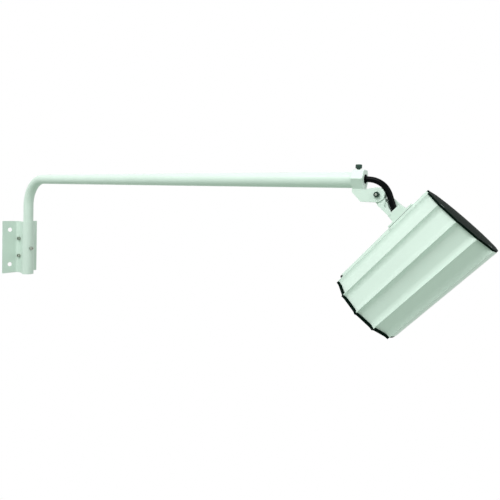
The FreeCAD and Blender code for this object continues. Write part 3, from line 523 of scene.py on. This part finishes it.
def solidsOf(name):
    # The separate solids of a node, each as a list of its corners.
    mesh = weldedMesh(name)
    waiting = set(mesh.verts)
    solids = []
    while waiting:
        reached = [waiting.pop()]
        for corner in reached:
            for edge in corner.link_edges:
                other = edge.other_vert(corner)
                if other in waiting:
                    waiting.remove(other)
                    reached.append(other)
        solids.append([corner.co.copy() for corner in reached])
    mesh.free()
    return solids


def frameAlong(corners, axis):
    # A frame with Z along the axis from the lowest end of the solid, and the solid's length.
    axis = Vector(axis)
    side = axis.orthogonal().normalized()
    other = axis.cross(side)
    spans = [(min(c.dot(way) for c in corners), max(c.dot(way) for c in corners))
             for way in (side, other, axis)]
    foot = side * sum(spans[0]) / 2 + other * sum(spans[1]) / 2 + axis * spans[2][0]
    turn = Matrix((side, other, axis)).transposed().to_4x4()
    return Matrix.Translation(foot) @ turn, (spans[2][1] - spans[2][0]) * 1000


def plainRing(radius):
    return lambda angle: radius


def knurledRing(radius, depth, count):
    return lambda angle: radius - depth * (0.5 - 0.5 * math.cos(count * angle))


def hexRing(across, most=math.inf):
    sixth = math.pi / 3
    return lambda angle: min(most, across / 2 / math.cos((angle + sixth / 2) % sixth - sixth / 2))


def threadRing(radius, depth, turns):
    return lambda angle: radius - depth * abs(2 * ((turns - angle / (2 * math.pi)) % 1) - 1)


def ringSurface(rings, sides, closed=False):
    # Rings of height and radius joined in order, with both ends filled or the last joined to the first.
    vertices = []
    for height, radiusAt in rings:
        for step in range(sides):
            angle = 2 * math.pi * step / sides
            radius = radiusAt(angle)
            vertices.append(Vector((radius * math.cos(angle), radius * math.sin(angle), height)))
    faces = []
    spans = len(rings) if closed else len(rings) - 1
    for row in range(spans):
        following = (row + 1) % len(rings)
        for step in range(sides):
            beside = (step + 1) % sides
            faces.append((row * sides + step, row * sides + beside,
                          following * sides + beside, following * sides + step))
    if not closed:
        faces.append(tuple(reversed(range(sides))))
        faces.append(tuple(range((len(rings) - 1) * sides, len(rings) * sides)))
    return vertices, faces


def headSurface(spec, low):
    high = low + spec["headHeight"]
    radius = spec["head"] / 2
    bevel = min(turning["chamfer"], spec["headHeight"] / 4)
    depth = turning["knurlDepth"] if spec["knurls"] else 0
    knurl = knurledRing(radius, depth, spec["knurls"])
    smooth = radius - depth
    mouth = spec["key"] / math.sqrt(3) + bevel / 2
    bottom = high - spec["keyDepth"]
    return ringSurface([
        (low, plainRing(smooth - bevel / 2)),
        (low + bevel / 2, plainRing(smooth)),
        (low + bevel, knurl),
        (high - 2 * bevel, knurl),
        (high - bevel, plainRing(smooth)),
        (high - bevel / 3, plainRing(smooth - bevel / 3)),
        (high, plainRing(smooth - bevel)),
        (high, plainRing(mouth)),
        (high - bevel / 2, hexRing(spec["key"])),
        (bottom, hexRing(spec["key"])),
        (bottom - bevel, plainRing(bevel)),
    ], turning["headSides"])


def shankSurface(spec, length):
    radius = spec["shank"] / 2
    bevel = turning["chamfer"]
    pitch = spec["pitch"]
    depth = pitch * turning["threadShare"]
    rings = [(0, plainRing(radius - bevel - turning["threadStart"]))]
    height = bevel
    while height < spec["thread"]:
        rings.append((height, threadRing(radius, depth, height / pitch)))
        height += pitch / turning["ringsPerTurn"]
    rings.append((height, plainRing(radius)))
    rings.append((length, plainRing(radius)))
    return ringSurface(rings, turning["threadSides"])


def joinSurfaces(surfaces):
    vertices = []
    faces = []
    for turn, (corners, loops) in surfaces:
        start = len(vertices)
        vertices += [turn @ (corner / 1000) for corner in corners]
        faces += [tuple(start + index for index in loop) for loop in loops]
    return vertices, faces


def pieceName(node):
    first, *rest = node.split("_")
    return first + "".join(word.capitalize() for word in rest)


def replaceNode(node, vertices, faces, angle):
    piece = newPiece(pieceName(node), vertices, faces, nodeSlots[node])
    smoothPiece(piece, angle)
    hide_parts(node)
    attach(piece, nodeBodies[node])


def makeScrews(spec):
    surfaces = []
    for corners in solidsOf(spec["node"]):
        turn, length = frameAlong(corners, spec["axis"])
        seat = length - spec["headHeight"]
        surfaces.append((turn, shankSurface(spec, seat)))
        surfaces.append((turn, headSurface(spec, seat)))
    replaceNode(spec["node"], *joinSurfaces(surfaces), turning["headCrease"])


def makeNuts(spec):
    surfaces = []
    for corners in solidsOf(spec["node"]):
        turn, height = frameAlong(corners, spec["axis"])
        rim = spec["across"] / math.sqrt(3)
        hole = spec["hole"] / 2
        chamfered = hexRing(spec["across"], rim * turning["nutRim"])
        lip = turning["chamfer"]
        surfaces.append((turn, ringSurface([
            (0, plainRing(hole + lip)),
            (0, chamfered),
            (lip, hexRing(spec["across"])),
            (height - lip, hexRing(spec["across"])),
            (height, chamfered),
            (height, plainRing(hole + lip)),
            (height - lip, plainRing(hole)),
            (lip, plainRing(hole)),
        ], turning["nutSides"], closed=True)))
    replaceNode(spec["node"], *joinSurfaces(surfaces), turning["nutCrease"])


def makeWashers(spec):
    surfaces = []
    for corners in solidsOf(spec["node"]):
        turn, height = frameAlong(corners, spec["axis"])
        outer = spec["outer"] / 2
        hole = spec["hole"] / 2
        edge = turning["washerChamfer"]
        surfaces.append((turn, ringSurface([
            (0, plainRing(hole)),
            (0, plainRing(outer - edge)),
            (edge, plainRing(outer)),
            (height - edge, plainRing(outer)),
            (height, plainRing(outer - edge)),
            (height, plainRing(hole)),
        ], turning["washerSides"], closed=True)))
    replaceNode(spec["node"], *joinSurfaces(surfaces), turning["washerCrease"])


# Rear cap: the node's own form with a thinner rim and a flatter crown, each as its height before and
# after in millimetres

flatCap = {"node": "rear_cap", "rim": (2.6, 2.3), "crown": (7.1, 4.5), "crease": 30}


def makeFlatCap(spec):
    mesh = weldedMesh(spec["node"])
    (rimWas, rim), (crownWas, crown) = spec["rim"], spec["crown"]
    for corner in mesh.verts:
        height = max(0, -(corner.co * 1000 - headRear).dot(headFront))
        if height <= rimWas:
            lift = height * (rim / rimWas - 1)
        else:
            lift = rim + (height - rimWas) * (crown - rim) / (crownWas - rimWas) - height
        corner.co -= headFront * lift / 1000
    vertices = [corner.co.copy() for corner in mesh.verts]
    faces = [tuple(corner.index for corner in face.verts) for face in mesh.faces]
    mesh.free()
    replaceNode(spec["node"], vertices, faces, spec["crease"])


# Web fillet: thickens the neck beside the cable, with a face that slopes down to it. Its corners are
# millimetres up from the head's own axis, along from the hinge, and across.

webFillet = {
    "outer": [(74.0, 6.4, -5.5), (88.4, 6.4, -5.5), (92.4, -0.6, -5.5)],
    "inner": [(74.0, 5.3, -3.4), (83.5, 2.4, -2.0), (90.0, -1.4, -2.6)],
    "back": 5.0,
    "rounding": 0.4,
    "crease": 40,
}


def makeWebFillet(spec):
    place = head["hingeAlong"]
    outer = [headPoint(up, across, place + along) for up, along, across in spec["outer"]]
    inner = [headPoint(up, across, place + along) for up, along, across in spec["inner"]]
    behind = [headPoint(up, spec["back"], place + along)
              for up, along, across in spec["outer"] + spec["inner"]]
    vertices = outer + inner + behind
    faces = [(0, 1, 4, 3), (1, 2, 5, 4), (6, 9, 10, 7), (7, 10, 11, 8), (0, 3, 9, 6), (2, 8, 11, 5),
             (0, 6, 7, 1), (1, 7, 8, 2), (3, 4, 10, 9), (4, 5, 11, 10)]
    piece = newPiece("webFillet", vertices, faces, "pale_alloy")
    shaped = bmesh.new()
    shaped.from_mesh(piece.data)
    bmesh.ops.recalc_face_normals(shaped, faces=shaped.faces)
    bmesh.ops.bevel(shaped, geom=shaped.edges[:], offset=spec["rounding"] / 1000, segments=3,
                    affect="EDGES")
    shaped.to_mesh(piece.data)
    shaped.free()
    smoothPiece(piece, spec["crease"])
    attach(piece, "head")


# Light source: a white ceramic plate with a yellow disc inside a raised ring

emitter = {"node": "led_emitter", "face": 107.6, "plate": 20.0, "plateGauge": 1.0, "corner": 1.2,
           "disc": 7.4, "dam": 8.0, "height": 1.2, "rounding": 0.25, "sides": 96, "crease": 30}


def squareRing(width, corner):
    # Radius of a square with its corners cut off.
    half = width / 2
    diagonal = (width - corner) / math.sqrt(2)

    def radiusAt(angle):
        turned = (angle + math.pi / 4) % (math.pi / 2) - math.pi / 4
        return min(half / math.cos(turned), diagonal / math.cos(abs(turned) - math.pi / 4))
    return radiusAt


def makeEmitter(spec):
    across = headFront.cross(headUp)
    turn = Matrix((headUp, across, headFront)).transposed().to_4x4()
    turn = Matrix.Translation(headPoint(0, 0, spec["face"])) @ turn
    square = squareRing(spec["plate"], spec["corner"])
    low = spec["plateGauge"]
    high = low + spec["height"]
    rounding = spec["rounding"]
    plate = ringSurface([
        (0, square),
        (low, square),
        (low, plainRing(spec["dam"])),
        (high - rounding, plainRing(spec["dam"])),
        (high, plainRing(spec["dam"] - rounding)),
        (high, plainRing(spec["disc"])),
        (low, plainRing(spec["disc"])),
    ], spec["sides"])
    disc = ringSurface([
        (low, plainRing(spec["disc"])),
        (high - 2 * rounding, plainRing(spec["disc"])),
        (high - rounding, plainRing(spec["disc"] / 2)),
    ], spec["sides"])
    for name, surface, slotName in (("emitterPlate", plate, "board_white"),
                                    ("emitterDisc", disc, "phosphor")):
        vertices, faces = joinSurfaces([(turn, surface)])
        piece = newPiece(name, vertices, faces, slotName)
        smoothPiece(piece, spec["crease"])
        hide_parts(spec["node"])
        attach(piece, "head")


# Bolt tip: the bright cut end of the pivot bolt, a shallow button inside its thread, whose dark colour is
# painted shade

boltTip = {"node": "pivot_bolt", "axis": (0, 1, 0), "radius": 1.75, "proud": 0.25, "sunk": 0.5,
           "crownShare": 0.7, "sides": 48, "crease": 50}


def makeBoltTip(spec):
    turn = frameAlong(solidsOf(spec["node"])[0], spec["axis"])[0]
    tip = ringSurface([
        (-spec["proud"], plainRing(spec["radius"] * spec["crownShare"])),
        (-spec["proud"] / 2, plainRing(spec["radius"])),
        (spec["sunk"], plainRing(spec["radius"])),
    ], spec["sides"])
    vertices, faces = joinSurfaces([(turn, tip)])
    piece = newPiece("boltTip", vertices, faces, "bright_steel")
    smoothPiece(piece, spec["crease"])
    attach(piece, nodeBodies[spec["node"]])


makeFlatCap(flatCap)
makeWebFillet(webFillet)
makeEmitter(emitter)
for screwSpec in socketScrews:
    makeScrews(screwSpec)
for nutSpec in nuts:
    makeNuts(nutSpec)
for washerSpec in washers:
    makeWashers(washerSpec)
makeBoltTip(boltTip)
print("cap, fillet, light source and", len(socketScrews) + len(nuts) + len(washers), "fastener nodes made")


def makeLoopCable(spec):
    hinge = Vector(spec["hinge"])
    places = [millimetres(hinge.x + x, 0, hinge.z + z) for x, z in spec["route"]]
    path = sampleRoute(places, "loopRoute")
    vertices, faces = tubeAlong(path, spec["diameter"] / 2000, spec["sides"])
    cable = newPiece("loopCable", vertices, faces, "cable_jacket")
    smoothPiece(cable, spec["crease"])
    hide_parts("loop_cable")
    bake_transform(cable)


makeLoopCable(loopCable)


# Lamp wires: from the driver over the tray, through the spreader to the board, in the head's directions

lampWires = {
    "diameter": 1.7,
    "sides": 16,
    "crease": 60,
    "pieces": [("lampWireBlack", 1.3, "cable_jacket"), ("lampWireWhite", -1.3, "board_white")],
    "route": [(0, 20, 35.5), (0, 20, 46), (-10, 20, 56), (-14, 16, 72), (-24, 4, 84), (-30, 0, 92),
              (-30, 0, 104), (-30, 0, 110.5), (-25, 0, 111.0), (-21, 0, 108.8), (-20.5, 0, 107.7)],
}


def makeLampWires(spec):
    for name, offset, slotName in spec["pieces"]:
        places = [headPoint(up, across + offset, along) for up, across, along in spec["route"]]
        path = sampleRoute(places, name)
        vertices, faces = tubeAlong(path, spec["diameter"] / 2000, spec["sides"])
        wire = newPiece(name, vertices, faces, slotName)
        smoothPiece(wire, spec["crease"])
        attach(wire, "head")
    print("lamp wires:", len(spec["pieces"]))


makeLampWires(lampWires)
